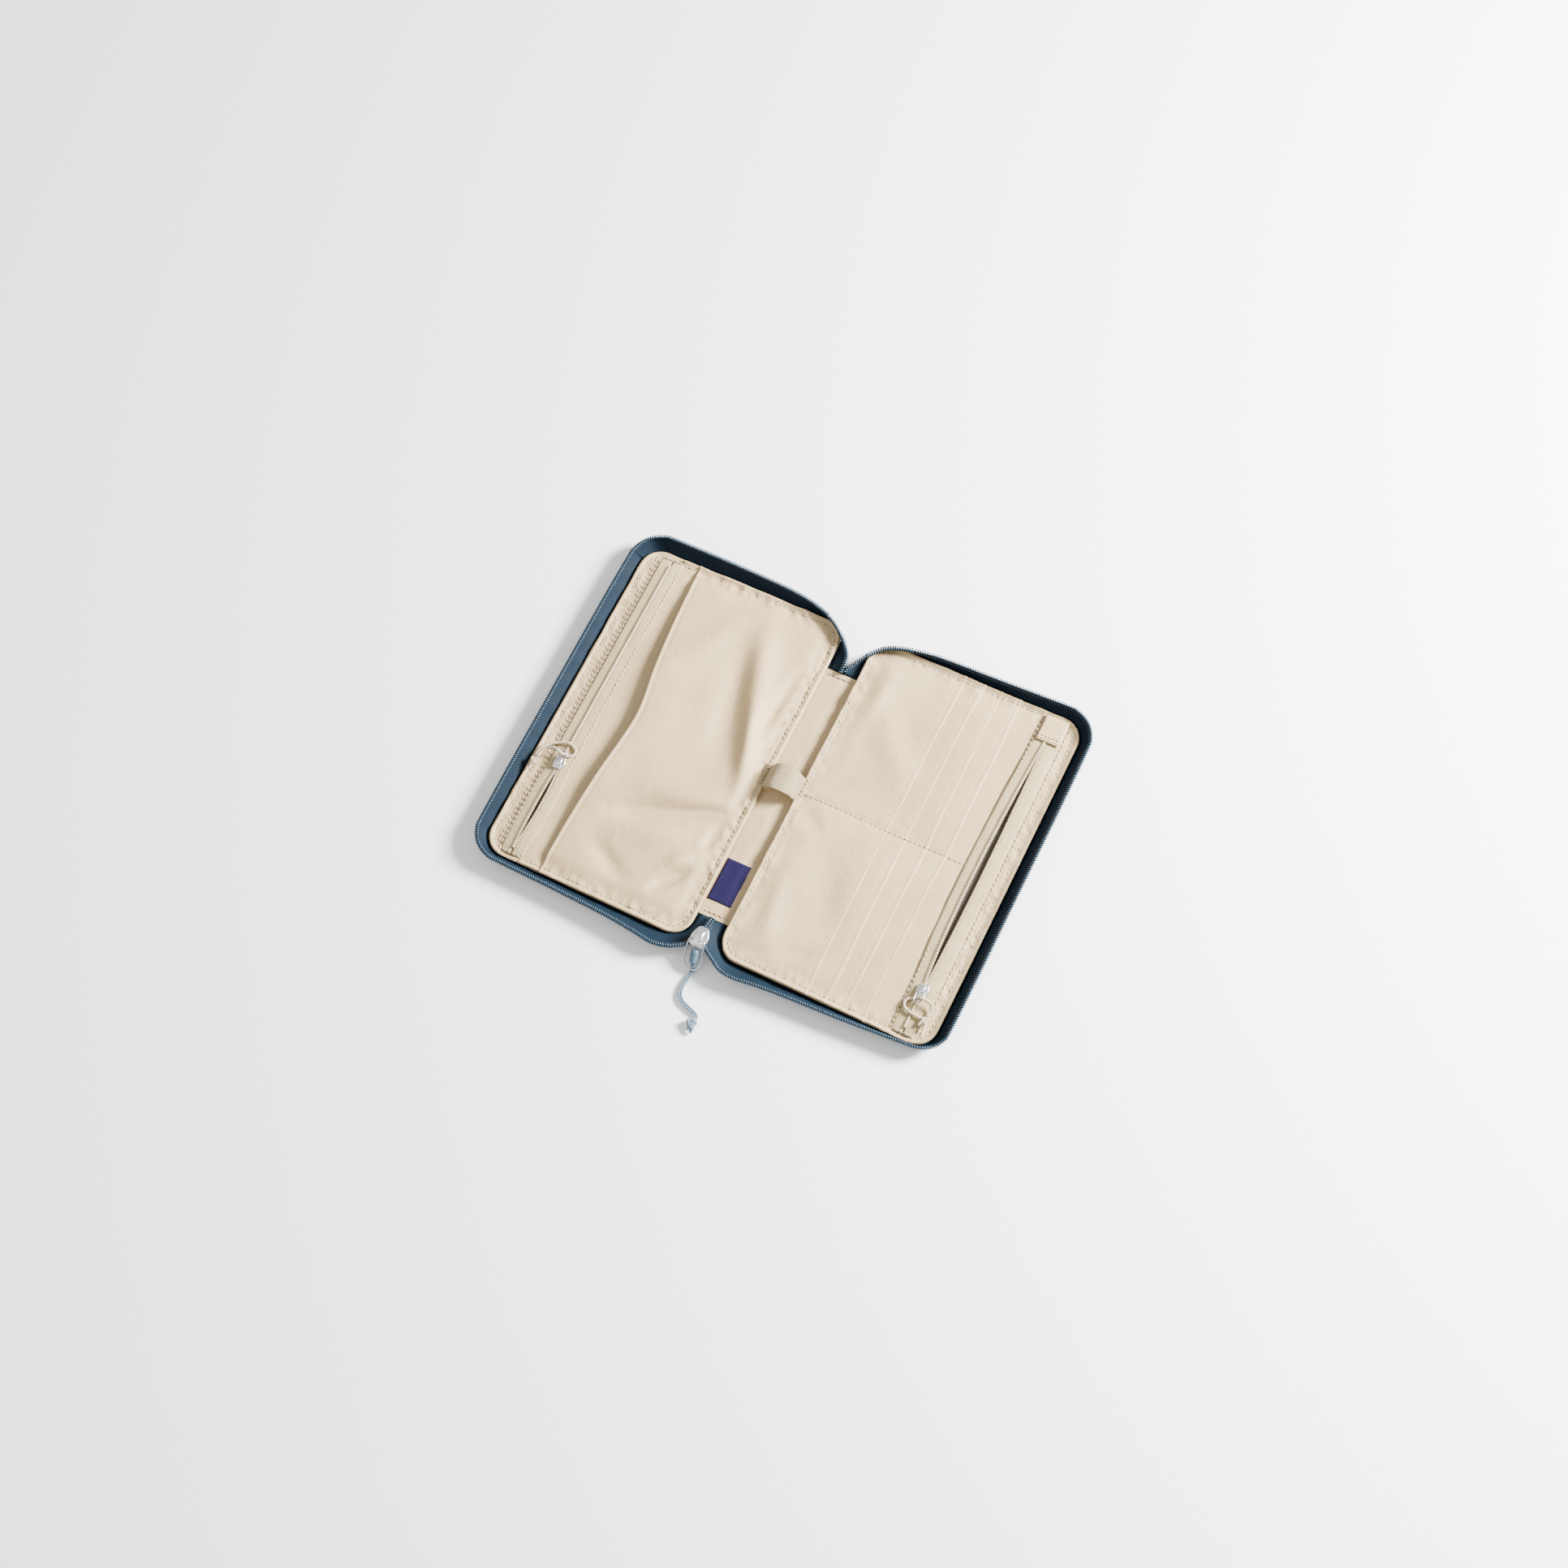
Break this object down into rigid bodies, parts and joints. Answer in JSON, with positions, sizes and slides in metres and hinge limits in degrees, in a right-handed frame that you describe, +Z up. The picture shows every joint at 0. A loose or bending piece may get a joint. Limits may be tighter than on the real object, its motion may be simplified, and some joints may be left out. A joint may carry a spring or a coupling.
{
  "type": "zip-round travel wallet",
  "caption": "Zip-round travel wallet lying open like a book, with pocket, card slots, pen loop and corded zip pulls.",
  "frame": {"origin": "on the surface it lies on, under the middle of the spine", "axes": "+X across the open wallet towards the half with the card slots, +Y along the spine away from the main slider, +Z up"},
  "size_m": [0.2766, 0.2417, 0.0126],
  "materials": {
    "cover_fabric": "matte",
    "stiffener_foam": "matte",
    "lining_fabric": "satin",
    "main_zip_tape": "matte",
    "main_zip_coil": "satin",
    "pocket_zip_tape": "matte",
    "pocket_zip_coil": "satin",
    "elastic_webbing": "matte",
    "label_weave": "satin",
    "slider_metal": "satin",
    "wire_steel": "polished",
    "sleeve_plastic": "satin",
    "main_cord": "matte",
    "pocket_cord": "matte"
  },
  "bodies": {
    "root": {"spine_cover": "cover_fabric", "spine_lining": "lining_fabric", "side_label": "label_weave", "pen_loop": "elastic_webbing", "bottom_zip_end": "main_zip_tape", "top_zip_end": "main_zip_tape", "closed_coil_bottom": "main_zip_coil", "closed_coil_top": "main_zip_coil"},
    "left_half": {"left_cover": "cover_fabric", "left_stiffener": "stiffener_foam", "left_lining": "lining_fabric", "left_zip_tape": "main_zip_tape", "left_zip_coil": "main_zip_coil", "left_zip_corner_top": "main_zip_tape", "left_zip_corner_bottom": "main_zip_tape", "coin_pocket_panel": "lining_fabric", "coin_outer_strip": "lining_fabric", "passport_pocket": "lining_fabric", "coin_zip_inner_tape": "pocket_zip_tape", "coin_zip_outer_tape": "pocket_zip_tape", "coin_zip_inner_coil": "pocket_zip_coil", "coin_zip_outer_coil": "pocket_zip_coil", "coin_zip_closed_coil": "pocket_zip_coil"},
    "right_half": {"right_cover": "cover_fabric", "right_stiffener": "stiffener_foam", "right_lining": "lining_fabric", "right_zip_tape": "main_zip_tape", "right_zip_coil": "main_zip_coil", "right_zip_corner_top": "main_zip_tape", "right_zip_corner_bottom": "main_zip_tape", "note_pocket_panel": "lining_fabric", "note_outer_strip": "lining_fabric", "card_slot_1": "lining_fabric", "card_slot_2": "lining_fabric", "card_slot_3": "lining_fabric", "card_slot_4": "lining_fabric", "note_zip_inner_tape": "pocket_zip_tape", "note_zip_outer_tape": "pocket_zip_tape", "note_zip_inner_coil": "pocket_zip_coil", "note_zip_outer_coil": "pocket_zip_coil", "note_zip_closed_coil": "pocket_zip_coil", "note_zip_top_patch": "lining_fabric"},
    "main_slider": {"main_slider": "slider_metal"},
    "main_pull": {"main_pull_hoop": "wire_steel", "main_pull_sleeve": "sleeve_plastic", "main_pull_cord": "main_cord", "main_pull_knot": "main_cord"},
    "coin_slider": {"coin_slider": "slider_metal"},
    "coin_pull": {"coin_pull_eye": "wire_steel", "coin_pull_cord": "pocket_cord", "coin_pull_knot": "pocket_cord"},
    "note_slider": {"note_slider": "slider_metal"},
    "note_pull": {"note_pull_eye": "wire_steel", "note_pull_cord": "pocket_cord", "note_pull_knot": "pocket_cord"}
  },
  "joints": [
    {"name": "left_fold", "type": "hinge", "parent": "root", "child": "left_half", "pos_m": [-0.0085, 0, 0.0009], "axis": [0, -1, 0], "range_deg": [-90, 0], "deforming": ["pen_loop", "left_zip_corner_top", "left_zip_corner_bottom", "bottom_zip_end", "top_zip_end"]},
    {"name": "right_fold", "type": "hinge", "parent": "root", "child": "right_half", "pos_m": [0.0085, 0, 0.0009], "axis": [0, 1, 0], "range_deg": [-90, 0], "deforming": ["right_zip_corner_top", "right_zip_corner_bottom"]},
    {"name": "main_slide", "type": "slide", "parent": "root", "child": "main_slider", "axis": [0, 1, 0], "range_m": [0, 0.006], "deforming": ["closed_coil_bottom"]},
    {"name": "main_pull_swing", "type": "hinge", "parent": "main_slider", "child": "main_pull", "pos_m": [0, -0.0948, 0.0106], "axis": [-1, 0, 0], "range_deg": [0, 150]},
    {"name": "coin_slide", "type": "slide", "parent": "left_half", "child": "coin_slider", "axis": [0, 1, 0], "range_m": [-0.048, 0.116], "deforming": ["coin_zip_inner_coil", "coin_zip_outer_coil", "coin_zip_closed_coil"]},
    {"name": "coin_pull_swing", "type": "hinge", "parent": "coin_slider", "child": "coin_pull", "pos_m": [-0.1144, -0.038, 0.00655], "axis": [1, 0, 0], "range_deg": [0, 160], "deforming": ["coin_pull_cord", "coin_pull_knot"]},
    {"name": "note_slide", "type": "slide", "parent": "right_half", "child": "note_slider", "axis": [0, 1, 0], "range_m": [0, 0.143], "deforming": ["note_zip_inner_coil", "note_zip_outer_coil", "note_zip_closed_coil"]},
    {"name": "note_pull_swing", "type": "hinge", "parent": "note_slider", "child": "note_pull", "pos_m": [0.115, -0.07, 0.00655], "axis": [-1, 0, 0], "range_deg": [0, 150]}
  ]
}
